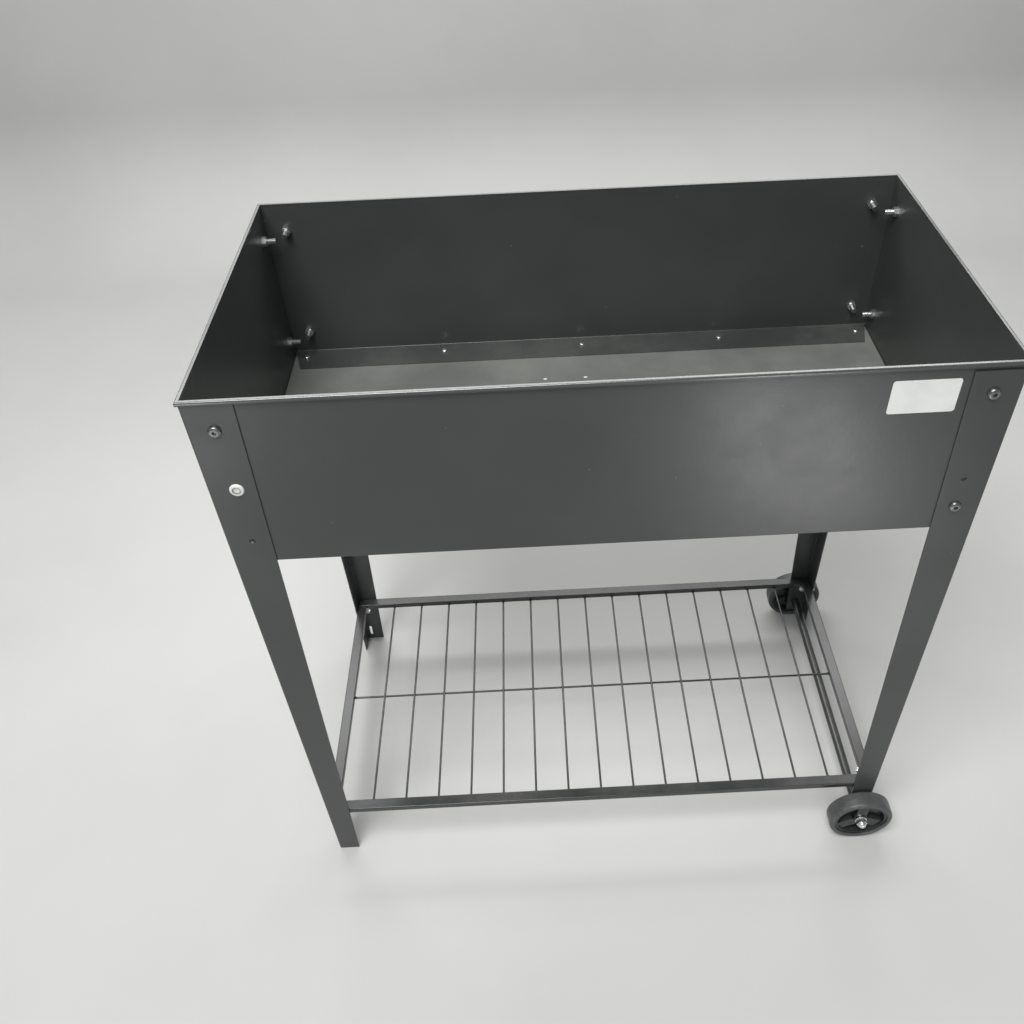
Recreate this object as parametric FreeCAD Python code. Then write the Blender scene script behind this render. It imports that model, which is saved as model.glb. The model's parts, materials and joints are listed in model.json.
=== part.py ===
import math
import os

from FreeCAD import Vector
import Part

# Raised planter on four tapered angle legs, with a wire shelf and a wheeled axle at its right end.
# Frame: X along the length, wheels at +X, Y from front to back, Z up.
# The planter is laid out about the middle of its rim, then moved so that the origin lies
# under the middle of its overall box, on the floor.

# Overall sizes
rim_length = 750.0
rim_width = 380.0
total_height = 800.0

# Box panels
panel_sheet = 0.8
box_depth = 205.0
hem_overhang = 3.0
hem_depth = 4.0
hem_bend_radius = 1.4
long_flange = 42.0
end_flange = 22.0
flange_relief = 11.0
flange_bend_radius = 1.6

# Floor plate
floor_sheet = 0.8
floor_edge_gap = 1.0
floor_screw_inset = 16.0
floor_screw_count = 5
drain_hole_diameter = 5.0
drain_hole_pitch = 50.0
drain_hole_offset = -25.0
drain_row_from_centre = 100.0

# Legs
leg_sheet = 1.5
leg_top_width = 48.5
leg_foot_width = 27.5
leg_bend_radius = 2.6
left_leg_top_drop = 1.2
right_leg_top_drop = 9.0
right_leg_foot_height = 20.0
leg_slot_width = 4.0
leg_slot_length = 22.0
leg_slot_height = 20.0
leg_slot_inset = 9.0
spare_hole_diameter = 5.0
spare_hole_drop = 138.0

# Leg bolts, M6
bolt_diameter = 6.0
bolt_hole_clearance = 0.5
bolt_length = 18.0
bolt_head_diameter = 12.0
bolt_head_height = 3.4
bolt_socket_width = 4.0
bolt_socket_depth = 1.8
bolt_nut_width = 10.0
bolt_nut_height = 5.0
long_bolt_inset = 24.0
end_bolt_inset = 25.0
upper_bolt_drop = 34.0
lower_bolt_rise = 31.0

# White snap cap on the front left leg
cap_drop = 105.0
cap_inset = 26.0
cap_diameter = 14.0
cap_ring_diameter = 8.0
cap_thickness = 2.2
cap_ring_depth = 0.8
cap_stem_diameter = 6.4
cap_stem_end = 1.0

# Floor screws, M4
screw_diameter = 4.0
screw_hole_clearance = 0.4
screw_head_diameter = 7.6
screw_head_height = 2.2
screw_nut_width = 7.0
screw_nut_height = 3.2
screw_tail = 1.5

# Shelf
shelf_top_height = 101.0
rail_width = 14.0
rail_height = 9.0
rail_wall = 1.0
rail_corner_radius = 1.2
rail_end_gap = 0.3
wire_diameter = 3.0
wire_count = 15
wire_drop = 7.2
wire_bite = 0.6
shelf_bolt_diameter = 5.0
shelf_bolt_hole_clearance = 0.4
shelf_bolt_head_diameter = 9.5
shelf_bolt_head_height = 2.8
shelf_bolt_nut_width = 8.0
shelf_bolt_nut_height = 4.0
shelf_bolt_tail = 1.5
shelf_bolt_from_leg = 23.0

# Axle and wheels
wheel_diameter = 86.0
wheel_width = 22.0
wheel_leg_gap = 2.0
axle_from_rim_end = 18.0
axle_diameter = 8.0
axle_hole_clearance = 0.25
spacer_diameter = 12.5
spacer_bore_clearance = 0.15
axle_nut_width = 13.0
axle_nut_height = 4.0
washer_diameter = 16.0
washer_thickness = 1.5
wheel_side_gap = 0.5
hub_diameter = 20.0
hub_running_clearance = 0.08
hub_face_recess = 4.0
tyre_thickness = 7.0
tyre_shoulder_radius = 3.2
rim_ring_thickness = 4.0
rim_ring_inset = 2.2
web_thickness = 3.0
spoke_count = 3
spoke_width = 15.0
cap_nut_width = 13.0
cap_nut_height = 5.5
cap_dome_radius = 5.6

# Blank label
label_width = 62.0
label_height = 37.0
label_thickness = 0.2
label_corner_radius = 3.0
label_leg_gap = 8.0
label_drop = 35.0

# Shares and allowances
head_rounding = 0.7          # rounded share of a bolt head's height
nut_face_share = 1.02        # a nut's flat outer face across its width
tyre_edge_radius = 0.6
hub_edge_radius = 1.0
cut_margin = 1.0             # how far a cutter runs past the faces it opens
join_overlap = 1.0           # how far wheel parts reach into each other before they are joined
point_tolerance = 1e-6

# Places that follow from the sizes above
half_rim_x = rim_length / 2
half_rim_y = rim_width / 2
panel_x = half_rim_x - hem_overhang
panel_y = half_rim_y - hem_overhang
inner_x = panel_x - panel_sheet
inner_y = panel_y - panel_sheet
leg_x = panel_x + leg_sheet
leg_y = panel_y + leg_sheet
box_bottom = total_height - box_depth
floor_top = box_bottom
floor_bottom = floor_top - floor_sheet
end_panel_bottom = floor_bottom - panel_sheet
panel_corner_radius = max(leg_bend_radius - leg_sheet, 0)
bolt_hole_diameter = bolt_diameter + bolt_hole_clearance
screw_hole_diameter = screw_diameter + screw_hole_clearance
shelf_bolt_hole_diameter = shelf_bolt_diameter + shelf_bolt_hole_clearance
upper_bolt_height = total_height - upper_bolt_drop
lower_bolt_height = box_bottom + lower_bolt_rise
cap_height = total_height - cap_drop
spare_hole_height = total_height - spare_hole_drop
label_centre_x = leg_x - leg_top_width - label_leg_gap - label_width / 2
label_centre_height = total_height - label_drop
left_leg_top = total_height - left_leg_top_drop
right_leg_top = total_height - right_leg_top_drop
rail_outer_x = panel_x - rail_end_gap
rail_outer_y = panel_y - rail_end_gap
rail_inner_x = rail_outer_x - rail_width
rail_inner_y = rail_outer_y - rail_width
rail_mid = shelf_top_height - rail_height / 2
wire_height = shelf_top_height - wire_drop
wheel_radius = wheel_diameter / 2
axle_x = half_rim_x - axle_from_rim_end
axle_height = wheel_radius
axle_nut_outer = leg_y + axle_nut_height
hub_inner_y = axle_nut_outer + wheel_side_gap
wheel_inner_y = leg_y + wheel_leg_gap
wheel_outer_y = wheel_inner_y + wheel_width
hub_outer_y = wheel_outer_y - hub_face_recess
washer_y = hub_outer_y + wheel_side_gap
cap_nut_y = washer_y + washer_thickness
left_end_x = max(half_rim_x, leg_x + bolt_head_height, leg_x + shelf_bolt_head_height)
right_end_x = max(left_end_x, axle_x + wheel_radius)
origin_x = (right_end_x - left_end_x) / 2

os.makedirs("parts", exist_ok=True)


def write(name, shape):
    """Move a finished piece into the planter's frame and save it."""
    moved = shape.copy()
    moved.translate(Vector(-origin_x, 0, 0))
    solids = moved.Solids
    print(name, len(solids), "solid(s)", round(moved.Volume, 1), "mm3")
    moved.exportStep("parts/" + name + ".step")


def box(low, high):
    return Part.makeBox(high[0] - low[0], high[1] - low[1], high[2] - low[2], Vector(*low))


def rod(start, direction, radius, length):
    return Part.makeCylinder(radius, length, Vector(*start), Vector(*direction))


def outline(points, place):
    """Closed edges through points (u, v, radius), each corner rounded by its radius.

    place(u, v, w) gives the point in space of each flat point.
    """
    corners = []
    count = len(points)
    for i in range(count):
        u, v, radius = points[i]
        here = Vector(u, v, 0)
        before = Vector(points[i - 1][0], points[i - 1][1], 0) - here
        after = Vector(points[(i + 1) % count][0], points[(i + 1) % count][1], 0) - here
        if radius <= 0:
            corners.append((place(u, v, 0), None, place(u, v, 0)))
            continue
        before.normalize()
        after.normalize()
        half_angle = before.getAngle(after) / 2
        back_off = radius / math.tan(half_angle)
        bisector = before + after
        bisector.normalize()
        middle = here + bisector * (radius / math.sin(half_angle) - radius)
        rounding = (here + before * back_off, middle, here + after * back_off)
        corners.append(tuple(place(flat.x, flat.y, 0) for flat in rounding))
    edges = []
    for i in range(count):
        start, middle, end = corners[i]
        if middle is not None:
            edges.append(Part.Arc(start, middle, end).toShape())
        next_start = corners[(i + 1) % count][0]
        if end.distanceToPoint(next_start) > point_tolerance:
            edges.append(Part.LineSegment(end, next_start).toShape())
    return edges


def prism(points, place, length):
    """Extrude an outline by length; place(u, v, w) puts its flat points in space."""
    face = Part.Face(Part.Wire(outline(points, place)))
    return face.extrude(place(0, 0, length) - place(0, 0, 0))


def hexagon(width):
    corner = width / math.sqrt(3)
    return [(corner * math.cos(math.radians(60 * k)), corner * math.sin(math.radians(60 * k)), 0)
            for k in range(6)]


def ring_points(width, height, radius):
    return [(-width / 2, -height / 2, radius), (width / 2, -height / 2, radius),
            (width / 2, height / 2, radius), (-width / 2, height / 2, radius)]


def along(axis, base):
    """Place a profile so that its extrusion runs along axis, one of +X -X +Y -Y +Z -Z."""
    bx, by, bz = base
    places = {
        "+X": lambda u, v, w: Vector(bx + w, by + u, bz + v),
        "-X": lambda u, v, w: Vector(bx - w, by - u, bz + v),
        "+Y": lambda u, v, w: Vector(bx - u, by + w, bz + v),
        "-Y": lambda u, v, w: Vector(bx + u, by - w, bz + v),
        "+Z": lambda u, v, w: Vector(bx + u, by + v, bz + w),
        "-Z": lambda u, v, w: Vector(bx + u, by - v, bz - w),
    }
    return places[axis]


def step(axis, base, distance):
    """The point a distance along axis from base."""
    signs = {"+": 1, "-": -1}
    moved = list(base)
    moved["XYZ".index(axis[1])] += signs[axis[0]] * distance
    return tuple(moved)


def direction(axis):
    return step(axis, (0, 0, 0), 1)


def opposite(axis):
    return {"+": "-", "-": "+"}[axis[0]] + axis[1]


# Box panels; their upright corners are rounded to sit inside the legs' bends

def inside_legs():
    plan = ring_points(2 * panel_x, 2 * panel_y, panel_corner_radius)
    return prism(plan, along("+Z", (0, 0, end_panel_bottom)), total_height - end_panel_bottom)


def long_panel():
    """Front panel: wall, outward hem along its top, inward flange along its bottom."""
    lip_foot = total_height - hem_depth
    profile = [
        (-inner_y, total_height, 0),
        (-half_rim_y, total_height, hem_bend_radius),
        (-half_rim_y, lip_foot, 0),
        (-half_rim_y + panel_sheet, lip_foot, 0),
        (-half_rim_y + panel_sheet, total_height - panel_sheet, hem_bend_radius - panel_sheet),
        (-panel_y, total_height - panel_sheet, 0),
        (-panel_y, box_bottom, flange_bend_radius),
        (-panel_y + long_flange, box_bottom, 0),
        (-panel_y + long_flange, box_bottom + panel_sheet, 0),
        (-inner_y, box_bottom + panel_sheet, flange_bend_radius - panel_sheet),
    ]
    panel = prism(profile, lambda u, v, w: Vector(w - half_rim_x, u, v), rim_length)
    wall = box((-panel_x, -panel_y, box_bottom), (panel_x, -inner_y, total_height))
    mitre = half_rim_y - inner_y
    hem = [(-half_rim_x, -half_rim_y, 0), (half_rim_x, -half_rim_y, 0),
           (half_rim_x - mitre, -half_rim_y + mitre, 0), (-half_rim_x + mitre, -half_rim_y + mitre, 0)]
    keep_hem = prism(hem, along("+Z", (0, 0, lip_foot)), hem_depth)
    keep_wall = wall.common(inside_legs()).cut(keep_hem)
    side = inner_x
    flange = [(-side, -panel_y, 0), (side, -panel_y, 0),
              (side, -inner_y, 0), (side - flange_relief, -panel_y + long_flange, 0),
              (-side + flange_relief, -panel_y + long_flange, 0), (-side, -inner_y, 0)]
    keep_flange = prism(flange, along("+Z", (0, 0, box_bottom)), flange_bend_radius + panel_sheet)
    return panel.common(keep_wall.fuse([keep_hem, keep_flange]))


def end_panel():
    """Right end panel, between the long panels; its bottom flange carries the floor plate."""
    lip_foot = total_height - hem_depth
    profile = [
        (inner_x, total_height, 0),
        (half_rim_x, total_height, hem_bend_radius),
        (half_rim_x, lip_foot, 0),
        (half_rim_x - panel_sheet, lip_foot, 0),
        (half_rim_x - panel_sheet, total_height - panel_sheet, hem_bend_radius - panel_sheet),
        (panel_x, total_height - panel_sheet, 0),
        (panel_x, end_panel_bottom, flange_bend_radius),
        (panel_x - end_flange, end_panel_bottom, 0),
        (panel_x - end_flange, end_panel_bottom + panel_sheet, 0),
        (inner_x, end_panel_bottom + panel_sheet, flange_bend_radius - panel_sheet),
    ]
    panel = prism(profile, lambda u, v, w: Vector(u, w - half_rim_y, v), rim_width)
    mitre = half_rim_x - inner_x
    hem = [(half_rim_x, -half_rim_y, 0), (half_rim_x, half_rim_y, 0),
           (half_rim_x - mitre, half_rim_y - mitre, 0), (half_rim_x - mitre, -half_rim_y + mitre, 0)]
    keep_hem = prism(hem, along("+Z", (0, 0, lip_foot)), hem_depth)
    inside = box((panel_x - end_flange, -inner_y, end_panel_bottom), (panel_x, inner_y, total_height))
    return panel.common(inside.common(inside_legs()).cut(keep_hem).fuse(keep_hem))


def bolt_places(corner_x, corner_y):
    """Leg bolts at one corner: (axis pointing out of the box, point on the panel's outer face)."""
    front = "+Y" if corner_y > 0 else "-Y"
    side = "+X" if corner_x > 0 else "-X"
    places = []
    for height in (upper_bolt_height, lower_bolt_height):
        places.append((front, (corner_x * (panel_x - long_bolt_inset), corner_y * panel_y, height)))
        places.append((side, (corner_x * panel_x, corner_y * (panel_y - end_bolt_inset), height)))
    return places


def through_hole(axis, face_point, diameter, depth_in, depth_out):
    """A cutter through a wall depth_in thick inside its face and one depth_out thick outside it."""
    start = step(axis, face_point, -depth_in - cut_margin)
    return rod(start, direction(axis), diameter / 2, depth_in + depth_out + 2 * cut_margin)


corners = {
    "front_left": (-1, -1),
    "front_right": (1, -1),
    "back_left": (-1, 1),
    "back_right": (1, 1),
}

bolt_holes = []
for corner_x, corner_y in corners.values():
    for axis, point in bolt_places(corner_x, corner_y):
        bolt_holes.append(through_hole(axis, point, bolt_hole_diameter, panel_sheet, leg_sheet))
cap_point = (-(panel_x - cap_inset), -panel_y, cap_height)
cap_hole = through_hole("-Y", cap_point, cap_stem_diameter, panel_sheet, leg_sheet)


def floor_screw_places():
    reach_x = inner_x - floor_screw_inset
    reach_y = inner_y - floor_screw_inset
    gap = 2 * reach_x / (floor_screw_count - 1)
    return [(-reach_x + gap * k, side * reach_y) for side in (-1, 1) for k in range(floor_screw_count)]


screw_hole_length = box_bottom + panel_sheet - end_panel_bottom + 2 * cut_margin
screw_holes = [rod((x, y, end_panel_bottom - cut_margin), (0, 0, 1), screw_hole_diameter / 2, screw_hole_length)
               for x, y in floor_screw_places()]

front_panel = long_panel()
back_panel = front_panel.mirror(Vector(0, 0, 0), Vector(0, 1, 0))
right_end_panel = end_panel()
left_end_panel = right_end_panel.mirror(Vector(0, 0, 0), Vector(1, 0, 0))
write("front_panel", front_panel.cut(bolt_holes + screw_holes + [cap_hole]))
write("back_panel", back_panel.cut(bolt_holes + screw_holes))
write("right_end_panel", right_end_panel.cut(bolt_holes + screw_holes))
write("left_end_panel", left_end_panel.cut(bolt_holes + screw_holes))


# Floor plate, held between the long panels' flanges above and the end panels' flanges below

floor_x = inner_x - floor_edge_gap
floor_y = inner_y - floor_edge_gap
floor_plate = box((-floor_x, -floor_y, floor_bottom), (floor_x, floor_y, floor_top))
drain_holes = [
    rod((drain_hole_offset + side_x * drain_hole_pitch / 2, side_y * drain_row_from_centre,
         floor_bottom - cut_margin), (0, 0, 1), drain_hole_diameter / 2, floor_sheet + 2 * cut_margin)
    for side_x in (-1, 1) for side_y in (-1, 1)]
write("floor_plate", floor_plate.cut(screw_holes + drain_holes))


def pan_head(axis, base, diameter, height):
    """A domed round head standing on base."""
    shape = Part.makeCylinder(diameter / 2, height, Vector(*base), Vector(*direction(axis)))
    top = step(axis, base, height)
    rims = [edge for edge in shape.Edges
            if (edge.CenterOfMass - Vector(*top)).Length < point_tolerance and edge.isClosed()]
    return shape.makeFillet(height * head_rounding, rims)


def hex_nut(axis, base, width, height, hole_diameter):
    """A nut standing on base, the corners of its outer face chamfered."""
    nut = prism(hexagon(width), along(axis, base), height)
    face_radius = nut_face_share * width / 2
    cone = Part.makeCone(face_radius + height, face_radius, height, Vector(*base), Vector(*direction(axis)))
    bore = rod(step(axis, base, -cut_margin), direction(axis), hole_diameter / 2, height + 2 * cut_margin)
    return nut.common(cone).cut(bore)


def floor_screw(x, y):
    """Screw head above the flange, its nut under the floor plate or the end flange below it."""
    head_base = (x, y, box_bottom + panel_sheet)
    over_end_flange = abs(x) + screw_nut_width > panel_x - end_flange
    nut_top = end_panel_bottom if over_end_flange else floor_bottom
    tail = nut_top - screw_nut_height - screw_tail
    shank = rod((x, y, tail), (0, 0, 1), screw_diameter / 2, head_base[2] - tail)
    head = pan_head("+Z", head_base, screw_head_diameter, screw_head_height)
    nut = hex_nut("-Z", (x, y, nut_top), screw_nut_width, screw_nut_height, screw_diameter)
    return head.fuse(shank), nut


floor_screws = [floor_screw(x, y) for x, y in floor_screw_places()]
write("floor_screws", Part.makeCompound([screw for screw, nut in floor_screws]))
write("floor_screw_nuts", Part.makeCompound([nut for screw, nut in floor_screws]))


# Legs

def leg(corner_x, corner_y, foot, top):
    """Bent angle with its outer corner upright and both flanges narrowing to the foot."""
    def width_at(height):
        return leg_foot_width + (leg_top_width - leg_foot_width) * height / total_height

    section = [
        (0, 0, leg_bend_radius),
        (leg_top_width, 0, 0),
        (leg_top_width, leg_sheet, 0),
        (leg_sheet, leg_sheet, leg_bend_radius - leg_sheet),
        (leg_sheet, leg_top_width, 0),
        (0, leg_top_width, 0),
    ]

    def place(u, v, w):
        return Vector(corner_x * (leg_x - u), corner_y * (leg_y - v), w)

    angle = prism(section, lambda u, v, w: place(u, v, w + foot), top - foot)
    taper = [(-cut_margin, foot, 0), (width_at(foot), foot, 0), (width_at(top), top, 0), (-cut_margin, top, 0)]
    across = leg_top_width + 2 * cut_margin
    keep_front = prism(taper, lambda u, v, w: place(u, w - cut_margin, v), across)
    keep_side = prism(taper, lambda u, v, w: place(w - cut_margin, u, v), across)
    shape = angle.common(keep_front).common(keep_side)
    return shape.cut(bolt_holes)


def shelf_bolt_places(corner_x, corner_y):
    side = "+X" if corner_x > 0 else "-X"
    return [(side, (corner_x * panel_x, corner_y * (leg_y - shelf_bolt_from_leg), rail_mid))]


axle_hole_radius = axle_diameter / 2 + axle_hole_clearance
axle_hole = rod((axle_x, -leg_y - cut_margin, axle_height), (0, 1, 0), axle_hole_radius,
                2 * (leg_y + cut_margin))
shelf_bolt_holes = []
for corner_x, corner_y in corners.values():
    for axis, point in shelf_bolt_places(corner_x, corner_y):
        shelf_bolt_holes.append(
            through_hole(axis, point, shelf_bolt_hole_diameter, rail_end_gap + rail_width, leg_sheet))
leg_slot_profile = ring_points(leg_slot_width, leg_slot_length, leg_slot_width / 2)
leg_slot_base = (-(leg_x - leg_slot_inset), panel_y - cut_margin, leg_slot_height)
leg_slot = prism(leg_slot_profile, along("+Y", leg_slot_base), leg_sheet + 2 * cut_margin)
spare_hole = rod((panel_x - long_bolt_inset, -leg_y - cut_margin, spare_hole_height), (0, 1, 0),
                 spare_hole_diameter / 2, leg_sheet + cut_margin)

leg_shapes = {}
for name, (corner_x, corner_y) in corners.items():
    is_right = corner_x > 0
    foot = right_leg_foot_height if is_right else 0.0
    top = right_leg_top if is_right else left_leg_top
    shape = leg(corner_x, corner_y, foot, top).cut(shelf_bolt_holes)
    if is_right:
        shape = shape.cut(axle_hole)
    leg_shapes[name] = shape
leg_shapes["front_left"] = leg_shapes["front_left"].cut(cap_hole)
leg_shapes["front_right"] = leg_shapes["front_right"].cut(spare_hole)
leg_shapes["back_left"] = leg_shapes["back_left"].cut(leg_slot)
for name, shape in leg_shapes.items():
    write(name + "_leg", shape)


# Leg bolts and nuts; the front left leg's lower front hole is left empty

def leg_bolt(axis, point):
    """Button head bolt from outside, its nut on the panel's inner face."""
    head_base = step(axis, point, leg_sheet)
    head = pan_head(axis, head_base, bolt_head_diameter, bolt_head_height)
    socket_base = step(axis, head_base, bolt_head_height - bolt_socket_depth)
    socket = prism(hexagon(bolt_socket_width), along(axis, socket_base), bolt_socket_depth + cut_margin)
    shank = rod(head_base, direction(opposite(axis)), bolt_diameter / 2, bolt_length)
    return head.cut(socket).fuse(shank)


def leg_nut(axis, point):
    inward = opposite(axis)
    return hex_nut(inward, step(inward, point, panel_sheet), bolt_nut_width, bolt_nut_height, bolt_diameter)


empty_hole = ("-Y", (-(panel_x - long_bolt_inset), -panel_y, lower_bolt_height))
for name, (corner_x, corner_y) in corners.items():
    places = [place for place in bolt_places(corner_x, corner_y) if place != empty_hole]
    write(name + "_leg_bolts", Part.makeCompound([leg_bolt(axis, point) for axis, point in places]))
    write(name + "_leg_nuts", Part.makeCompound([leg_nut(axis, point) for axis, point in places]))


def snap_cap():
    """Round plastic cap with a raised ring, its stem filling the hole through leg and panel."""
    face = step("-Y", cap_point, leg_sheet)
    cap = pan_head("-Y", face, cap_diameter, cap_thickness)
    dish = rod(step("-Y", face, cap_thickness - cap_ring_depth), (0, -1, 0), cap_ring_diameter / 2, cap_thickness)
    stem = rod(face, (0, 1, 0), cap_stem_diameter / 2, leg_sheet + panel_sheet + cap_stem_end)
    return cap.cut(dish).fuse(stem)


write("leg_snap_cap", snap_cap())


# Shelf: four flat tubes in a frame, wires welded to their inner faces

def rail(length, axis, base):
    """Rectangular tube with open ends."""
    outer = prism(ring_points(rail_width, rail_height, rail_corner_radius), along(axis, base), length)
    bore_width = rail_width - 2 * rail_wall
    bore_height = rail_height - 2 * rail_wall
    bore_radius = max(rail_corner_radius - rail_wall, 0)
    bore_base = step(axis, base, -cut_margin)
    inner = prism(ring_points(bore_width, bore_height, bore_radius), along(axis, bore_base), length + 2 * cut_margin)
    return outer.cut(inner)


long_rail_length = 2 * rail_outer_x
end_rail_length = 2 * rail_inner_y
for name, side in (("front", -1), ("back", 1)):
    base = (-rail_outer_x, side * (rail_outer_y - rail_width / 2), rail_mid)
    shape = rail(long_rail_length, "+X", base)
    write("shelf_" + name + "_rail", shape.cut(shelf_bolt_holes))
for name, side in (("left", -1), ("right", 1)):
    base = (side * (rail_outer_x - rail_width / 2), -rail_inner_y, rail_mid)
    shape = rail(end_rail_length, "+Y", base)
    write("shelf_" + name + "_rail", shape.cut(shelf_bolt_holes))

wire_gap = 2 * rail_inner_x / (wire_count + 1)
wire_length = 2 * rail_inner_y
for k in range(wire_count):
    x = -rail_inner_x + wire_gap * (k + 1)
    wire = rod((x, -rail_inner_y, wire_height), (0, 1, 0), wire_diameter / 2, wire_length)
    write("shelf_wire_%02d" % (k + 1), wire)
cross_wire_height = wire_height - wire_diameter + wire_bite
cross_wire = rod((-rail_inner_x, 0, cross_wire_height), (1, 0, 0), wire_diameter / 2, 2 * rail_inner_x)
write("shelf_cross_wire", cross_wire)


def shelf_bolt(axis, point):
    head_base = step(axis, point, leg_sheet)
    reach = leg_sheet + rail_end_gap + rail_width + shelf_bolt_nut_height + shelf_bolt_tail
    head = pan_head(axis, head_base, shelf_bolt_head_diameter, shelf_bolt_head_height)
    return head.fuse(rod(head_base, direction(opposite(axis)), shelf_bolt_diameter / 2, reach))


def shelf_nut(axis, point):
    inward = opposite(axis)
    base = step(inward, point, rail_end_gap + rail_width)
    return hex_nut(inward, base, shelf_bolt_nut_width, shelf_bolt_nut_height, shelf_bolt_diameter)


shelf_places = []
for corner_x, corner_y in corners.values():
    shelf_places.extend(shelf_bolt_places(corner_x, corner_y))
write("shelf_bolts", Part.makeCompound([shelf_bolt(axis, point) for axis, point in shelf_places]))
write("shelf_nuts", Part.makeCompound([shelf_nut(axis, point) for axis, point in shelf_places]))


# Axle: a rod through both right legs, with a spacer tube between them

axle_reach = cap_nut_y + cap_nut_height
write("axle_rod", rod((axle_x, -axle_reach, axle_height), (0, 1, 0), axle_diameter / 2, 2 * axle_reach))
spacer_y = leg_y - leg_sheet
spacer = rod((axle_x, -spacer_y, axle_height), (0, 1, 0), spacer_diameter / 2, 2 * spacer_y)
spacer_bore = rod((axle_x, -spacer_y - cut_margin, axle_height), (0, 1, 0),
                  axle_diameter / 2 + spacer_bore_clearance, 2 * (spacer_y + cut_margin))
write("axle_spacer_tube", spacer.cut(spacer_bore))


def axle_end_pieces(side):
    """Clamp nut on the leg, washer outside the wheel and cap nut on the rod's end."""
    outward = "+Y" if side > 0 else "-Y"
    clamp = hex_nut(outward, (axle_x, side * leg_y, axle_height), axle_nut_width, axle_nut_height, axle_diameter)
    washer_base = (axle_x, side * washer_y, axle_height)
    washer = rod(washer_base, direction(outward), washer_diameter / 2, washer_thickness)
    washer = washer.cut(rod(washer_base, direction(outward), axle_diameter / 2, washer_thickness))
    cap_base = (axle_x, side * cap_nut_y, axle_height)
    cap = prism(hexagon(cap_nut_width), along(outward, cap_base), cap_nut_height)
    dome_centre = step(outward, cap_base, cap_nut_height)
    dome = Part.makeSphere(cap_dome_radius, Vector(*dome_centre))
    half = rod(dome_centre, direction(outward), cap_dome_radius + cut_margin, cap_dome_radius + cut_margin)
    cap = cap.fuse(dome.common(half))
    cap = cap.cut(rod(cap_base, direction(outward), axle_diameter / 2, cap_nut_height))
    return clamp, washer, cap


ends = [axle_end_pieces(-1), axle_end_pieces(1)]
write("axle_clamp_nuts", Part.makeCompound([end[0] for end in ends]))
write("wheel_washers", Part.makeCompound([end[1] for end in ends]))
write("axle_cap_nuts", Part.makeCompound([end[2] for end in ends]))


# Wheels: a moulded spoked centre inside a smooth tyre

def turned(profile, side):
    """Turn a closed outline of (distance from the axle, distance across, radius) about the axle."""
    face = Part.Face(Part.Wire(outline(profile, lambda u, v, w: Vector(axle_x + u, side * v, axle_height + w))))
    return face.revolve(Vector(axle_x, 0, axle_height), Vector(0, 1, 0), 360)


def wheel_pieces(side):
    tyre_inner = wheel_radius - tyre_thickness
    tyre = turned([
        (tyre_inner, wheel_inner_y, tyre_edge_radius),
        (wheel_radius, wheel_inner_y, tyre_shoulder_radius),
        (wheel_radius, wheel_outer_y, tyre_shoulder_radius),
        (tyre_inner, wheel_outer_y, tyre_edge_radius)], side)
    ring_inner = tyre_inner - rim_ring_thickness
    ring_inner_y = wheel_inner_y + rim_ring_inset
    ring_outer_y = wheel_outer_y - rim_ring_inset
    ring = turned([
        (ring_inner, ring_inner_y, 0),
        (tyre_inner, ring_inner_y, 0),
        (tyre_inner, ring_outer_y, 0),
        (ring_inner, ring_outer_y, 0)], side)
    bore = axle_diameter / 2 + hub_running_clearance
    hub = turned([
        (bore, hub_inner_y, 0),
        (hub_diameter / 2, hub_inner_y, 0),
        (hub_diameter / 2, hub_outer_y, hub_edge_radius),
        (bore, hub_outer_y, 0)], side)
    middle_y = (hub_inner_y + hub_outer_y) / 2
    web = turned([
        (hub_diameter / 2 - join_overlap, middle_y - web_thickness / 2, 0),
        (ring_inner + join_overlap, middle_y - web_thickness / 2, 0),
        (ring_inner + join_overlap, middle_y + web_thickness / 2, 0),
        (hub_diameter / 2 - join_overlap, middle_y + web_thickness / 2, 0)], side)
    centre = hub.fuse([ring, web])
    spoke_start = hub_diameter / 2 - join_overlap
    spoke_length = ring_inner + join_overlap - spoke_start
    spoke_inner_y = hub_inner_y + rim_ring_inset
    spoke_profile = ring_points(spoke_width, spoke_length, 0)
    for k in range(spoke_count):
        angle = 360 * k / spoke_count
        base = (axle_x, side * spoke_inner_y, axle_height + spoke_start + spoke_length / 2)
        spoke = prism(spoke_profile, along("-Y" if side < 0 else "+Y", base), hub_outer_y - spoke_inner_y)
        spoke.rotate(Vector(axle_x, 0, axle_height), Vector(0, 1, 0), angle)
        centre = centre.fuse(spoke)
    return tyre, centre.removeSplitter()


for name, side in (("front", -1), ("back", 1)):
    tyre, centre = wheel_pieces(side)
    write(name + "_wheel_tyre", tyre)
    write(name + "_wheel_centre", centre)


# Blank label on the front panel

label_profile = ring_points(label_width, label_height, label_corner_radius)
label = prism(label_profile, along("-Y", (label_centre_x, -panel_y, label_centre_height)), label_thickness)
write("blank_label", label)
print("overall length", round(left_end_x + right_end_x, 2), "origin shift", round(origin_x, 3))
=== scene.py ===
import json
import math

import bpy
from mathutils import Matrix, Vector


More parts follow.
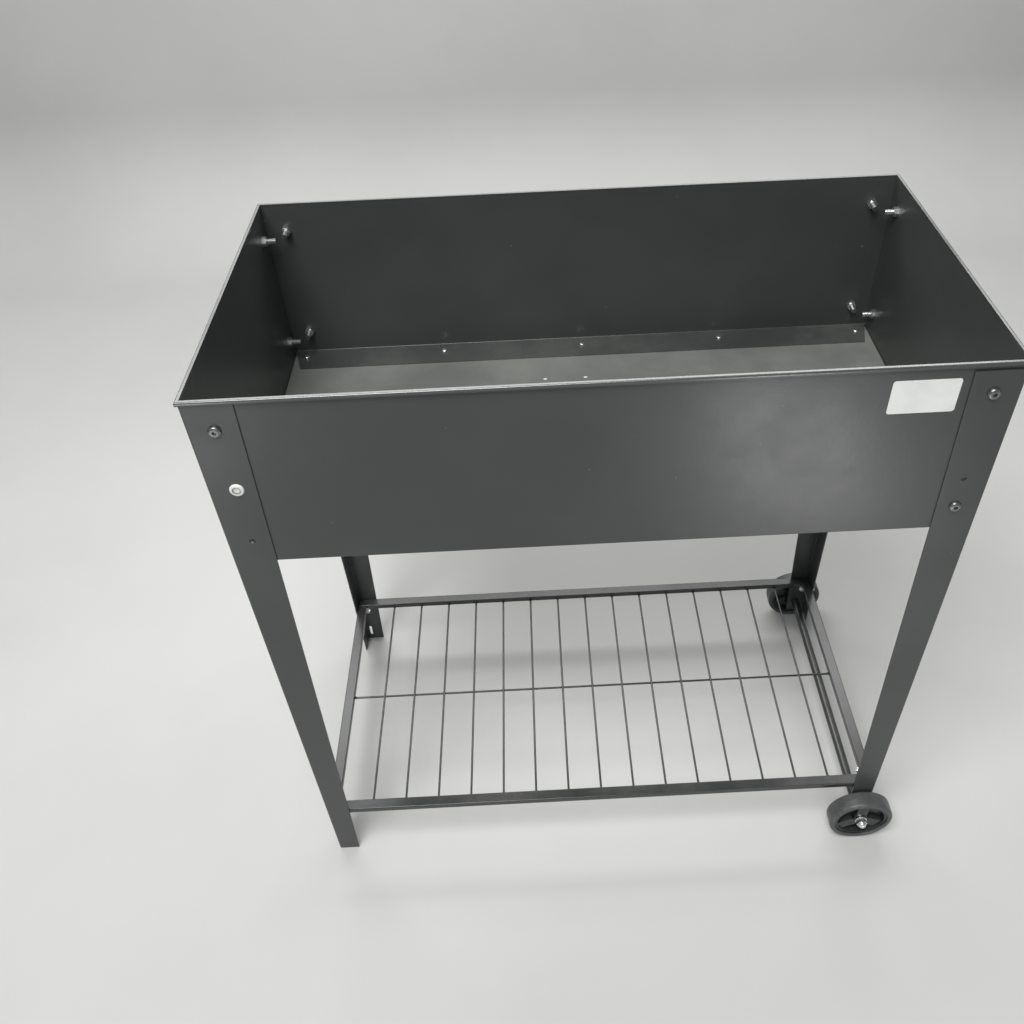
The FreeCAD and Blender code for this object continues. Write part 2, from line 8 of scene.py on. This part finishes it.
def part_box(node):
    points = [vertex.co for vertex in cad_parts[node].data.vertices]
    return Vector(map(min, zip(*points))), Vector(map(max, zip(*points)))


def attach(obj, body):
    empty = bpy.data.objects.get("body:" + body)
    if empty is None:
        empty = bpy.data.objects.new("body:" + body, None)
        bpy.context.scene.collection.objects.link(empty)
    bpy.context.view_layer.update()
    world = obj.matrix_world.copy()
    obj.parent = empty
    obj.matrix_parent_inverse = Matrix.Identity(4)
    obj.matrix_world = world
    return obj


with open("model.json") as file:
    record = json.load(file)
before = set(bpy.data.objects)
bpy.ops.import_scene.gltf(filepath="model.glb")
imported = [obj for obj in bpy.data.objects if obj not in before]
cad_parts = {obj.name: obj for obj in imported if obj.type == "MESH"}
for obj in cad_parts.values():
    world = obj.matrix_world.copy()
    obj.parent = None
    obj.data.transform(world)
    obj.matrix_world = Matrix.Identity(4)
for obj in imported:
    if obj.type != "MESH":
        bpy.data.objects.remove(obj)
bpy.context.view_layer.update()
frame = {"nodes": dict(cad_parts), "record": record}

print("frame loaded")

nodes = frame["nodes"]
record = frame["record"]


# Node building

def addNode(tree, kind, **settings):
    node = tree.nodes.new(kind)
    for name, value in settings.items():
        setattr(node, name, value)
    return node


def setInputs(node, values):
    for name, value in values.items():
        node.inputs[name].default_value = value
    return node


def link(tree, source, target):
    tree.links.new(source, target)


def noiseNode(tree, coordinates, scale, detail=2.0, roughness=0.5):
    node = addNode(tree, "ShaderNodeTexNoise")
    setInputs(node, {"Scale": scale, "Detail": detail, "Roughness": roughness})
    link(tree, coordinates, node.inputs["Vector"])
    return node.outputs["Fac"]


def mathNode(tree, operation, first, second=0.0, clamp=False):
    node = addNode(tree, "ShaderNodeMath", operation=operation, use_clamp=clamp)
    for slotIndex, value in enumerate((first, second)):
        if isinstance(value, (int, float)):
            node.inputs[slotIndex].default_value = value
        else:
            link(tree, value, node.inputs[slotIndex])
    return node.outputs[0]


def spread(tree, value, low, high, toLow=0.0, toHigh=1.0):
    node = addNode(tree, "ShaderNodeMapRange", interpolation_type="SMOOTHSTEP")
    link(tree, value, node.inputs["Value"])
    for name, number in (("From Min", low), ("From Max", high), ("To Min", toLow), ("To Max", toHigh)):
        node.inputs[name].default_value = number
    return node.outputs["Result"]


def mixColours(tree, factor, first, second, blend="MIX"):
    node = addNode(tree, "ShaderNodeMix", data_type="RGBA", blend_type=blend)
    for name, value in ((0, factor), (6, first), (7, second)):
        if isinstance(value, (int, float)):
            node.inputs[name].default_value = value
        elif isinstance(value, tuple):
            node.inputs[name].default_value = (*value, 1.0)
        else:
            link(tree, value, node.inputs[name])
    return node.outputs[2]


def newGroup(name, inputs, outputs):
    group = bpy.data.node_groups.new(name, "ShaderNodeTree")
    for label, kind, default in inputs:
        socket = group.interface.new_socket(label, in_out="INPUT", socket_type=kind)
        socket.default_value = default
    for label, kind in outputs:
        group.interface.new_socket(label, in_out="OUTPUT", socket_type=kind)
    entry = group.nodes.new("NodeGroupInput")
    leave = group.nodes.new("NodeGroupOutput")
    return group, entry, leave


# Shared effect: dust that settles on upward faces, with a few lint specks

def makeDustGroup():
    group, entry, leave = newGroup(
        "settledDust",
        [("Colour", "NodeSocketColor", (0.1, 0.1, 0.1, 1.0)), ("Amount", "NodeSocketFloat", 0.1),
         ("Specks", "NodeSocketFloat", 0.4)],
        [("Colour", "NodeSocketColor"), ("Mask", "NodeSocketFloat")])
    place = addNode(group, "ShaderNodeTexCoord").outputs["Object"]
    normal = addNode(group, "ShaderNodeNewGeometry").outputs["Normal"]
    split = addNode(group, "ShaderNodeSeparateXYZ")
    link(group, normal, split.inputs[0])
    upward = spread(group, split.outputs["Z"], 0.15, 0.95, 0.06, 1.0)
    patches = spread(group, noiseNode(group, place, 9.0, 6.0, 0.62), 0.36, 0.72)
    grains = spread(group, noiseNode(group, place, 420.0, 3.0, 0.7), 0.30, 0.75, 0.55, 1.0)
    soft = mathNode(group, "MULTIPLY", mathNode(group, "MULTIPLY", upward, patches), grains)
    film = mathNode(group, "MULTIPLY", soft, entry.outputs["Amount"], clamp=True)
    lint = spread(group, noiseNode(group, place, 170.0, 1.0, 0.4), 0.80, 0.83)
    lint = mathNode(group, "MULTIPLY", lint, entry.outputs["Specks"])
    mask = mathNode(group, "MAXIMUM", film, lint, clamp=True)
    colour = mixColours(group, mask, entry.outputs["Colour"], (0.42, 0.41, 0.38))
    link(group, colour, leave.inputs["Colour"])
    link(group, mask, leave.inputs["Mask"])
    return group


# Shared effect: the fine texture and slow waviness of sprayed and baked coating

def makePeelGroup():
    group, entry, leave = newGroup(
        "orangePeel",
        [("Strength", "NodeSocketFloat", 0.2), ("Roughness", "NodeSocketFloat", 0.4)],
        [("Normal", "NodeSocketVector"), ("Roughness", "NodeSocketFloat"), ("Shade", "NodeSocketFloat")])
    place = addNode(group, "ShaderNodeTexCoord").outputs["Object"]
    fine = noiseNode(group, place, 1100.0, 2.0, 0.55)
    peel = noiseNode(group, place, 260.0, 2.0, 0.5)
    slow = noiseNode(group, place, 7.0, 3.0, 0.5)
    height = mathNode(group, "ADD", mathNode(group, "MULTIPLY", fine, 0.35), peel)
    bump = addNode(group, "ShaderNodeBump")
    setInputs(bump, {"Distance": 0.00018})
    link(group, height, bump.inputs["Height"])
    link(group, entry.outputs["Strength"], bump.inputs["Strength"])
    sheet = addNode(group, "ShaderNodeBump")
    setInputs(sheet, {"Distance": 0.004, "Strength": 0.012})
    link(group, slow, sheet.inputs["Height"])
    link(group, bump.outputs["Normal"], sheet.inputs["Normal"])
    link(group, sheet.outputs["Normal"], leave.inputs["Normal"])
    waver = spread(group, noiseNode(group, place, 18.0, 5.0, 0.6), 0.3, 0.7, -0.02, 0.025)
    link(group, mathNode(group, "ADD", entry.outputs["Roughness"], waver), leave.inputs["Roughness"])
    link(group, spread(group, slow, 0.3, 0.7, 0.90, 1.10), leave.inputs["Shade"])
    return group


dustGroup = makeDustGroup()
peelGroup = makePeelGroup()


def groupNode(tree, group):
    node = tree.nodes.new("ShaderNodeGroup")
    node.node_tree = group
    return node


def emptyMaterial(name):
    material = bpy.data.materials.new(name)
    material.use_nodes = True
    material.node_tree.nodes.clear()
    tree = material.node_tree
    shader = addNode(tree, "ShaderNodeBsdfPrincipled")
    output = addNode(tree, "ShaderNodeOutputMaterial")
    link(tree, shader.outputs[0], output.inputs["Surface"])
    return material, tree, shader


# Powder coats

def coatMaterial(name, values):
    material, tree, shader = emptyMaterial(name)
    place = addNode(tree, "ShaderNodeTexCoord").outputs["Object"]
    peel = groupNode(tree, peelGroup)
    setInputs(peel, {"Strength": values["peel"], "Roughness": values["roughness"]})
    base = mixColours(tree, 1.0, values["colour"], peel.outputs["Shade"], "MULTIPLY")
    scuffPlace = addNode(tree, "ShaderNodeMapping")
    scuffPlace.inputs["Scale"].default_value = values["scuffStretch"]
    link(tree, place, scuffPlace.inputs["Vector"])
    scuffs = spread(tree, noiseNode(tree, scuffPlace.outputs[0], 40.0, 4.0, 0.7), 0.70, 0.80)
    lowDown = addNode(tree, "ShaderNodeSeparateXYZ")
    link(tree, place, lowDown.inputs[0])
    nearFloor = spread(tree, lowDown.outputs["Z"], 0.0, 0.35, 1.0, 0.25)
    scuffs = mathNode(tree, "MULTIPLY", mathNode(tree, "MULTIPLY", scuffs, nearFloor), values["scuffs"])
    worn = mixColours(tree, scuffs, base, values["scuffColour"])
    dust = groupNode(tree, dustGroup)
    setInputs(dust, {"Amount": values["dust"], "Specks": values["specks"]})
    link(tree, worn, dust.inputs["Colour"])
    link(tree, dust.outputs["Colour"], shader.inputs["Base Color"])
    dulled = mathNode(tree, "MULTIPLY", dust.outputs["Mask"], 0.35)
    rough = mathNode(tree, "ADD", peel.outputs["Roughness"], dulled)
    rim = spread(tree, lowDown.outputs["Z"], values["rimFrom"] - 0.0004, values["rimFrom"])
    polish = mathNode(tree, "MULTIPLY", rim, values["rimPolish"])
    rough = mathNode(tree, "SUBTRACT", rough, polish, clamp=True)
    link(tree, rough, shader.inputs["Roughness"])
    shine = mathNode(tree, "ADD", 0.5, mathNode(tree, "MULTIPLY", rim, values["rimShine"]))
    link(tree, shine, shader.inputs["Specular IOR Level"])
    link(tree, peel.outputs["Normal"], shader.inputs["Normal"])
    setInputs(shader, {"Metallic": 0.0, "IOR": values["ior"]})
    return material


coatValues = {
    "colour": (0.044, 0.048, 0.046), "roughness": 0.34, "peel": 0.26, "ior": 1.55, "dust": 0.12, "specks": 0.22,
    "scuffs": 0.2, "scuffColour": (0.12, 0.12, 0.115), "scuffStretch": (3.0, 3.0, 0.5),
    "rimFrom": 0.7975, "rimPolish": 0.14, "rimShine": 0.5}
floorCoatValues = {
    "colour": (0.15, 0.158, 0.146), "roughness": 0.34, "peel": 0.24, "ior": 1.52, "dust": 0.25, "specks": 0.3,
    "scuffs": 0.15, "scuffColour": (0.2, 0.2, 0.19), "scuffStretch": (0.5, 4.0, 1.0),
    "rimFrom": 2.0, "rimPolish": 0.0, "rimShine": 0.0}
shelfCoatValues = {
    "colour": (0.024, 0.027, 0.026), "roughness": 0.21, "peel": 0.20, "ior": 1.55, "dust": 0.12, "specks": 0.15,
    "scuffs": 0.2, "scuffColour": (0.12, 0.12, 0.115), "scuffStretch": (0.6, 3.0, 1.0),
    "rimFrom": 2.0, "rimPolish": 0.0, "rimShine": 0.0}


# Metals

def metalMaterial(name, values):
    material, tree, shader = emptyMaterial(name)
    place = addNode(tree, "ShaderNodeTexCoord").outputs["Object"]
    blotches = noiseNode(tree, place, values["blotch"], 4.0, 0.6)
    tint = mixColours(tree, spread(tree, blotches, 0.35, 0.65), values["colour"], values["second"])
    link(tree, tint, shader.inputs["Base Color"])
    grain = noiseNode(tree, place, 1800.0, 3.0, 0.6)
    link(tree, spread(tree, blotches, 0.3, 0.7, values["roughness"] - 0.07, values["roughness"] + 0.10),
         shader.inputs["Roughness"])
    bump = addNode(tree, "ShaderNodeBump")
    setInputs(bump, {"Distance": 0.00008, "Strength": values["grain"]})
    link(tree, grain, bump.inputs["Height"])
    link(tree, bump.outputs["Normal"], shader.inputs["Normal"])
    setInputs(shader, {"Metallic": values["metallic"]})
    return material


zincValues = {"colour": (0.86, 0.86, 0.83), "second": (0.70, 0.71, 0.72), "roughness": 0.33, "grain": 0.35,
              "metallic": 1.0, "blotch": 260.0}
blackBoltValues = {"colour": (0.16, 0.165, 0.16), "second": (0.24, 0.24, 0.235), "roughness": 0.30, "grain": 0.4,
                   "metallic": 0.85, "blotch": 340.0}


# Wheel plastics: rings about the axle, a mould seam on the tread, dust from the floor

axle = {"x": 0.34545, "z": 0.043, "middle": 0.2015}


def wheelMaterial(name, values):
    material, tree, shader = emptyMaterial(name)
    place = addNode(tree, "ShaderNodeTexCoord").outputs["Object"]
    split = addNode(tree, "ShaderNodeSeparateXYZ")
    link(tree, place, split.inputs[0])
    acrossX = mathNode(tree, "SUBTRACT", split.outputs["X"], axle["x"])
    acrossZ = mathNode(tree, "SUBTRACT", split.outputs["Z"], axle["z"])
    squareX = mathNode(tree, "MULTIPLY", acrossX, acrossX)
    squareZ = mathNode(tree, "MULTIPLY", acrossZ, acrossZ)
    squares = mathNode(tree, "ADD", squareX, squareZ)
    distance = mathNode(tree, "SQRT", squares)
    rings = mathNode(tree, "SINE", mathNode(tree, "MULTIPLY", distance, values["ringRate"]))
    rings = spread(tree, rings, 0.55, 1.0)
    sideways = mathNode(tree, "ABSOLUTE", split.outputs["Y"])
    seamPlace = mathNode(tree, "ABSOLUTE", mathNode(tree, "SUBTRACT", sideways, axle["middle"]))
    seam = spread(tree, seamPlace, 0.0, 0.0006, 1.0, 0.0)
    grain = noiseNode(tree, place, values["grainScale"], 3.0, 0.6)
    ringHeight = mathNode(tree, "MULTIPLY", rings, values["rings"])
    height = mathNode(tree, "ADD", ringHeight, mathNode(tree, "MULTIPLY", grain, values["grain"]))
    height = mathNode(tree, "ADD", height, mathNode(tree, "MULTIPLY", seam, values["seam"]))
    bump = addNode(tree, "ShaderNodeBump")
    setInputs(bump, {"Distance": 0.0003, "Strength": 0.6})
    link(tree, height, bump.inputs["Height"])
    link(tree, bump.outputs["Normal"], shader.inputs["Normal"])
    patches = spread(tree, noiseNode(tree, place, 55.0, 5.0, 0.6), 0.3, 0.7, 0.82, 1.18)
    base = mixColours(tree, 1.0, values["colour"], patches, "MULTIPLY")
    grime = spread(tree, noiseNode(tree, place, 130.0, 6.0, 0.65), 0.42, 0.75)
    outer = spread(tree, distance, 0.034, 0.042)
    grime = mathNode(tree, "MULTIPLY", mathNode(tree, "MULTIPLY", grime, outer), values["grime"])
    dirty = mixColours(tree, grime, base, (0.30, 0.29, 0.27))
    dust = groupNode(tree, dustGroup)
    setInputs(dust, {"Amount": values["dust"], "Specks": 0.2})
    link(tree, dirty, dust.inputs["Colour"])
    link(tree, dust.outputs["Colour"], shader.inputs["Base Color"])
    rough = spread(tree, grain, 0.3, 0.7, values["roughness"] - 0.05, values["roughness"] + 0.08)
    link(tree, rough, shader.inputs["Roughness"])
    return material


tyreValues = {"colour": (0.060, 0.065, 0.065), "roughness": 0.36, "ringRate": 2200.0, "rings": 0.35,
              "grainScale": 900.0, "grain": 0.2, "seam": 0.6, "grime": 0.12, "dust": 0.16}
hubValues = {"colour": (0.012, 0.013, 0.015), "roughness": 0.24, "ringRate": 1400.0, "rings": 0.2,
             "grainScale": 1500.0, "grain": 0.25, "seam": 0.0, "grime": 0.1, "dust": 0.15}


# Snap cap and label

def plasticMaterial(name, values):
    material, tree, shader = emptyMaterial(name)
    place = addNode(tree, "ShaderNodeTexCoord").outputs["Object"]
    stain = spread(tree, noiseNode(tree, place, values["stainScale"], 5.0, 0.6), 0.35, 0.75, 0.0, values["stain"])
    stained = mixColours(tree, stain, values["colour"], values["stainColour"])
    # the darker ring drawn here is painted shade: it stands in for the shadow inside the cap's shallow ring
    # recess
    apart = addNode(tree, "ShaderNodeVectorMath", operation="DISTANCE")
    link(tree, place, apart.inputs[0])
    apart.inputs[1].default_value = values["ringCentre"]
    fromRing = mathNode(tree, "SUBTRACT", apart.outputs["Value"], values["ringRadius"])
    ringNear = mathNode(tree, "ABSOLUTE", fromRing)
    ring = spread(tree, ringNear, values["ringWidth"] * 0.6, values["ringWidth"], 1.0, 0.0)
    link(tree, mixColours(tree, ring, stained, values["recessShadeColour"]), shader.inputs["Base Color"])
    fibre = noiseNode(tree, place, values["grainScale"], 4.0, 0.65)
    bump = addNode(tree, "ShaderNodeBump")
    setInputs(bump, {"Distance": 0.0001, "Strength": values["grain"]})
    link(tree, fibre, bump.inputs["Height"])
    link(tree, bump.outputs["Normal"], shader.inputs["Normal"])
    link(tree, spread(tree, fibre, 0.3, 0.7, values["roughness"] - 0.06, values["roughness"] + 0.06),
         shader.inputs["Roughness"])
    return material


# on the cap the darker ring is painted shade standing in for the shadow in its shallow recess
capValues = {"colour": (0.80, 0.80, 0.77), "stain": 0.25, "stainColour": (0.55, 0.54, 0.50), "stainScale": 300.0,
             "grainScale": 1200.0, "grain": 0.2, "roughness": 0.35,
             "ringCentre": (-0.35755, -0.1905, 0.695), "ringRadius": 0.0036, "ringWidth": 0.0009,
             "recessShadeColour": (0.33, 0.33, 0.32)}
labelValues = {"colour": (0.88, 0.90, 0.86), "stain": 0.30, "stainColour": (0.62, 0.63, 0.62), "stainScale": 45.0,
               "grainScale": 1600.0, "grain": 0.35, "roughness": 0.55,
               "ringCentre": (0.0, 0.0, 0.0), "ringRadius": 0.0, "ringWidth": 0.0001,
               "recessShadeColour": (0.6, 0.6, 0.6)}

slotMaterials = {
    "powder_coat": coatMaterial("charcoalCoat", coatValues),
    "floor_coat": coatMaterial("floorCoat", floorCoatValues),
    "shelf_coat": coatMaterial("shelfCoat", shelfCoatValues),
    "black_bolts": metalMaterial("blackBolts", blackBoltValues),
    "zinc": metalMaterial("zincPlate", zincValues),
    "tyre": wheelMaterial("tyreRubber", tyreValues),
    "wheel_plastic": wheelMaterial("hubPlastic", hubValues),
    "white_plastic": plasticMaterial("whiteCap", capValues),
    "label": plasticMaterial("labelPaper", labelValues),
}
for part in record["subparts"]:
    shown = nodes[part["node"]]
    shown.data.materials.clear()
    shown.data.materials.append(slotMaterials[part["material_slot"]])

print("materials made")


# Small pieces built here: weld beads on the shelf and threads on the bolts' free ends

smoothAngle = math.radians(40)


def startSeed(name):
    seed = bpy.context.object
    seed.name = name
    bpy.ops.object.mode_set(mode="EDIT")
    bpy.ops.mesh.select_all(action="SELECT")
    return seed


# Copies of one modelled seed, each with its own mesh, set in place and joined into one piece
def copyToPlaces(seed, places, material, body):
    name = seed.name
    copies = []
    for place, turn in places:
        bpy.ops.object.select_all(action="DESELECT")
        seed.select_set(True)
        bpy.context.view_layer.objects.active = seed
        bpy.ops.object.duplicate(linked=False)
        copy = bpy.context.object
        copy.location = place
        copy.rotation_euler = turn
        copies.append(copy)
    bpy.data.objects.remove(seed)
    bpy.ops.object.select_all(action="DESELECT")
    for copy in copies:
        copy.select_set(True)
    bpy.context.view_layer.objects.active = copies[0]
    bpy.ops.object.transform_apply(location=True, rotation=True, scale=True)
    bpy.ops.object.join()
    piece = bpy.context.object
    piece.name = name
    bpy.ops.object.mode_set(mode="EDIT")
    bpy.ops.mesh.select_all(action="SELECT")
    bpy.ops.mesh.normals_make_consistent(inside=False)
    bpy.ops.object.mode_set(mode="OBJECT")
    bpy.ops.object.shade_smooth_by_angle(angle=smoothAngle)
    piece.data.materials.clear()
    piece.data.materials.append(material)
    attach(piece, body)


# A small fillet of weld: a ball flattened, drawn out along the rail and left a little uneven
def makeWeldBeads(values):
    crossLow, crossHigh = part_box("shelf_cross_wire")
    crossHeight = (crossLow.z + crossHigh.z) / 2
    upright = (0, 0, 0)
    places = []
    for number in range(1, values["wires"] + 1):
        low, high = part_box("shelf_wire_%02d" % number)
        middle, height = (low.x + high.x) / 2, (low.z + high.z) / 2
        for inner in (low.y + values["sink"], high.y - values["sink"]):
            places.append(((middle, inner, height + values["lift"]), upright))
        places.append(((middle, 0.0, (height + crossHeight) / 2), upright))
    for outer in (crossLow.x + values["sink"], crossHigh.x - values["sink"]):
        places.append(((outer, 0.0, crossHeight + values["lift"]), (0, 0, math.radians(90))))
    bpy.ops.object.select_all(action="DESELECT")
    bpy.ops.mesh.primitive_uv_sphere_add(segments=10, ring_count=6, radius=values["radius"],
                                         location=(0, 0, 0))
    seed = startSeed("shelfWeldBeads")
    bpy.ops.transform.resize(value=values["shape"], center_override=(0, 0, 0))
    bpy.ops.transform.vertex_random(offset=values["ripple"], uniform=0.6, seed=4)
    bpy.ops.object.mode_set(mode="OBJECT")
    copyToPlaces(seed, places, slotMaterials["shelf_coat"], "planter")


weldValues = {"wires": 15, "sink": 0.0006, "lift": 0.0004, "radius": 0.0021, "shape": (1.15, 0.85, 0.8),
              "ripple": 0.00012}
makeWeldBeads(weldValues)


# The free end of a bolt: a rod drawn up ring by ring, each turn of the thread out and in again
def makeThreads(values):
    bpy.ops.object.select_all(action="DESELECT")
    bpy.ops.mesh.primitive_circle_add(vertices=values["sides"], radius=values["root"],
                                      fill_type="NGON", location=(0, 0, 0))
    seed = startSeed("boltThreads")
    wide = values["crest"] / values["root"]
    for turn in range(values["turns"]):
        for factor in (wide, 1 / wide):
            rise = (0, 0, values["pitch"] / 2)
            bpy.ops.mesh.extrude_region_move(TRANSFORM_OT_translate={"value": rise})
            bpy.ops.transform.resize(value=(factor, factor, 1), center_override=(0, 0, 0))
    bpy.ops.object.mode_set(mode="OBJECT")
    copyToPlaces(seed, values["places"], slotMaterials["zinc"], "planter")


boltValues = {"wallX": 0.372, "wallY": 0.187, "alongX": 0.348, "alongY": 0.162, "heights": (0.766, 0.626),
              "start": 0.0064}
rimLow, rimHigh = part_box("front_panel")
rimMiddle = (rimLow.x + rimHigh.x) / 2
threadPlaces = []
for sideX in (-1, 1):
    for sideY in (-1, 1):
        for height in boltValues["heights"]:
            lengthwise = (rimMiddle + sideX * boltValues["alongX"],
                          sideY * (boltValues["wallY"] - boltValues["start"]), height)
            crosswise = (rimMiddle + sideX * (boltValues["wallX"] - boltValues["start"]),
                         sideY * boltValues["alongY"], height)
            emptyHole = (sideX, sideY) == (-1, -1) and height == boltValues["heights"][-1]
            if not emptyHole:  # the hole low on the front left leg has no bolt
                threadPlaces.append((lengthwise, (sideY * math.radians(90), 0, 0)))
            threadPlaces.append((crosswise, (0, -sideX * math.radians(90), 0)))
threadValues = {"places": threadPlaces, "sides": 14, "root": 0.00295, "crest": 0.0032, "pitch": 0.0010,
                "turns": 10}
makeThreads(threadValues)
print("small pieces made")


# Stage: a pale floor that curves up into a pale backdrop

stageColours = {"first": (0.54, 0.542, 0.525), "second": (0.59, 0.592, 0.572), "thrownBack": (0.5, 0.5, 0.5)}


def stageMaterial():
    material, tree, shader = emptyMaterial("paleStage")
    place = addNode(tree, "ShaderNodeTexCoord").outputs["Object"]
    clouds = spread(tree, noiseNode(tree, place, 1.3, 5.0, 0.55), 0.3, 0.7)
    pale = mixColours(tree, clouds, stageColours["first"], stageColours["second"])
    # the light that the floor throws back on the planter
    dim = mixColours(tree, 1.0, pale, stageColours["thrownBack"], "MULTIPLY")
    rays = addNode(tree, "ShaderNodeLightPath")
    seen = mathNode(tree, "MAXIMUM", rays.outputs["Is Camera Ray"], rays.outputs["Is Glossy Ray"])
    link(tree, mixColours(tree, seen, dim, pale), shader.inputs["Base Color"])
    grit = noiseNode(tree, place, 90.0, 5.0, 0.6)
    bump = addNode(tree, "ShaderNodeBump")
    setInputs(bump, {"Distance": 0.0006, "Strength": 0.15})
    link(tree, grit, bump.inputs["Height"])
    link(tree, bump.outputs["Normal"], shader.inputs["Normal"])
    setInputs(shader, {"Roughness": 0.55})
    return material


stageSize = {"side": 9.0, "back": 1.75, "height": 3.5, "curve": 0.35, "steps": 12}


def makeStage(size):
    bpy.ops.object.select_all(action="DESELECT")
    bpy.ops.mesh.primitive_plane_add(size=1.0, location=(0, 0, 0))
    stage = bpy.context.object
    stage.name = "stageFloor"
    bpy.ops.object.mode_set(mode="EDIT")
    bpy.ops.mesh.select_all(action="SELECT")
    bpy.ops.transform.resize(value=(size["side"], size["side"], 1), center_override=(0, 0, 0))
    bpy.ops.transform.translate(value=(0, size["back"] - size["side"] / 2, 0))
    bpy.ops.mesh.select_all(action="DESELECT")
    bpy.ops.object.mode_set(mode="OBJECT")
    for edge in stage.data.edges:
        ends = [stage.data.vertices[k].co.y for k in edge.vertices]
        edge.select = min(ends) > size["back"] - 0.01
    bpy.ops.object.mode_set(mode="EDIT")
    bpy.ops.mesh.select_mode(type="EDGE")
    bpy.ops.mesh.extrude_region_move(TRANSFORM_OT_translate={"value": (0, 0, size["height"])})
    bpy.ops.mesh.select_all(action="DESELECT")
    bpy.ops.object.mode_set(mode="OBJECT")
    for edge in stage.data.edges:
        ends = [stage.data.vertices[k].co for k in edge.vertices]
        edge.select = all(end.y > size["back"] - 0.01 and end.z < 0.01 for end in ends)
    bpy.ops.object.mode_set(mode="EDIT")
    bpy.ops.mesh.bevel(offset=size["curve"], segments=size["steps"])
    bpy.ops.object.mode_set(mode="OBJECT")
    bpy.ops.object.shade_smooth()
    stage.data.materials.append(stageMaterial())


makeStage(stageSize)
print("stage made")


# Light: wide lamps behind, a strong one high in front, two small low ones in front, and an even sky

lampValues = [
    {"name": "keyLight", "place": (-0.10, 1.38, 2.17), "aim": (0, 0, 0.7),
     "size": (3.2, 0.6), "power": 30.0},
    {"name": "railLight", "place": (-0.25, 1.40, 1.47), "aim": (0, 0, 0.4),
     "size": (2.6, 0.25), "power": 5.0},
    {"name": "topLight", "place": (-0.60, -1.2, 3.0), "aim": (0, 0, 0.6),
     "size": (1.6, 1.6), "power": 84.0},
    {"name": "floorGlow", "place": (0.42, -0.95, 0.04), "aim": (0.154, -0.187, 0.70),
     "size": (0.26, 0.20), "power": 1.7},
    {"name": "sideGlow", "place": (-0.86, -1.06, 0.03), "aim": (-0.37, -0.19, 0.70),
     "size": (0.22, 0.22), "power": 0.8},
]
for values in lampValues:
    lampData = bpy.data.lights.new(values["name"], "AREA")
    lampData.shape = "ELLIPSE" if values["size"][0] == values["size"][1] else "RECTANGLE"
    lampData.size, lampData.size_y = values["size"]
    lampData.energy = values["power"]
    lamp = bpy.data.objects.new(values["name"], lampData)
    bpy.context.scene.collection.objects.link(lamp)
    lamp.location = values["place"]
    lamp.visible_camera = False
    towards = Vector(values["aim"]) - lamp.location
    lamp.rotation_euler = towards.to_track_quat("-Z", "Y").to_euler()

world = bpy.data.worlds.new("studioSky")
world.use_nodes = True
bpy.context.scene.world = world
sky = world.node_tree
sky.nodes.clear()
skyLight = addNode(sky, "ShaderNodeBackground")
setInputs(skyLight, {"Color": (0.93, 0.96, 1.0, 1.0), "Strength": 0.30})
skyOut = addNode(sky, "ShaderNodeOutputWorld")
link(sky, skyLight.outputs[0], skyOut.inputs["Surface"])
print("light made")


# Camera

cameraValues = {"place": (-0.06985, -0.8521, 1.2918), "yaw": 0.627, "pitch": 41.613, "roll": -2.416,
                "lens": 33.350, "shiftX": -0.03781, "shiftY": -0.04258}


def makeCamera(values):
    yaw, pitch, roll = (math.radians(values[name]) for name in ("yaw", "pitch", "roll"))
    forward = Vector((math.sin(yaw) * math.cos(pitch), math.cos(yaw) * math.cos(pitch), -math.sin(pitch)))
    level = Vector((math.cos(yaw), -math.sin(yaw), 0))
    upright = level.cross(forward)
    right = math.cos(roll) * level + math.sin(roll) * upright
    above = -math.sin(roll) * level + math.cos(roll) * upright
    cameraData = bpy.data.cameras.new("mainCamera")
    cameraData.sensor_width = 36.0
    cameraData.lens = values["lens"]
    cameraData.shift_x = values["shiftX"]
    cameraData.shift_y = values["shiftY"]
    cameraData.dof.use_dof = False
    camera = bpy.data.objects.new("mainCamera", cameraData)
    bpy.context.scene.collection.objects.link(camera)
    turn = Matrix((right, above, -forward)).transposed()
    camera.matrix_world = Matrix.Translation(values["place"]) @ turn.to_4x4()
    bpy.context.scene.camera = camera


makeCamera(cameraValues)
bpy.context.scene.view_settings.view_transform = "Standard"
print("camera made")
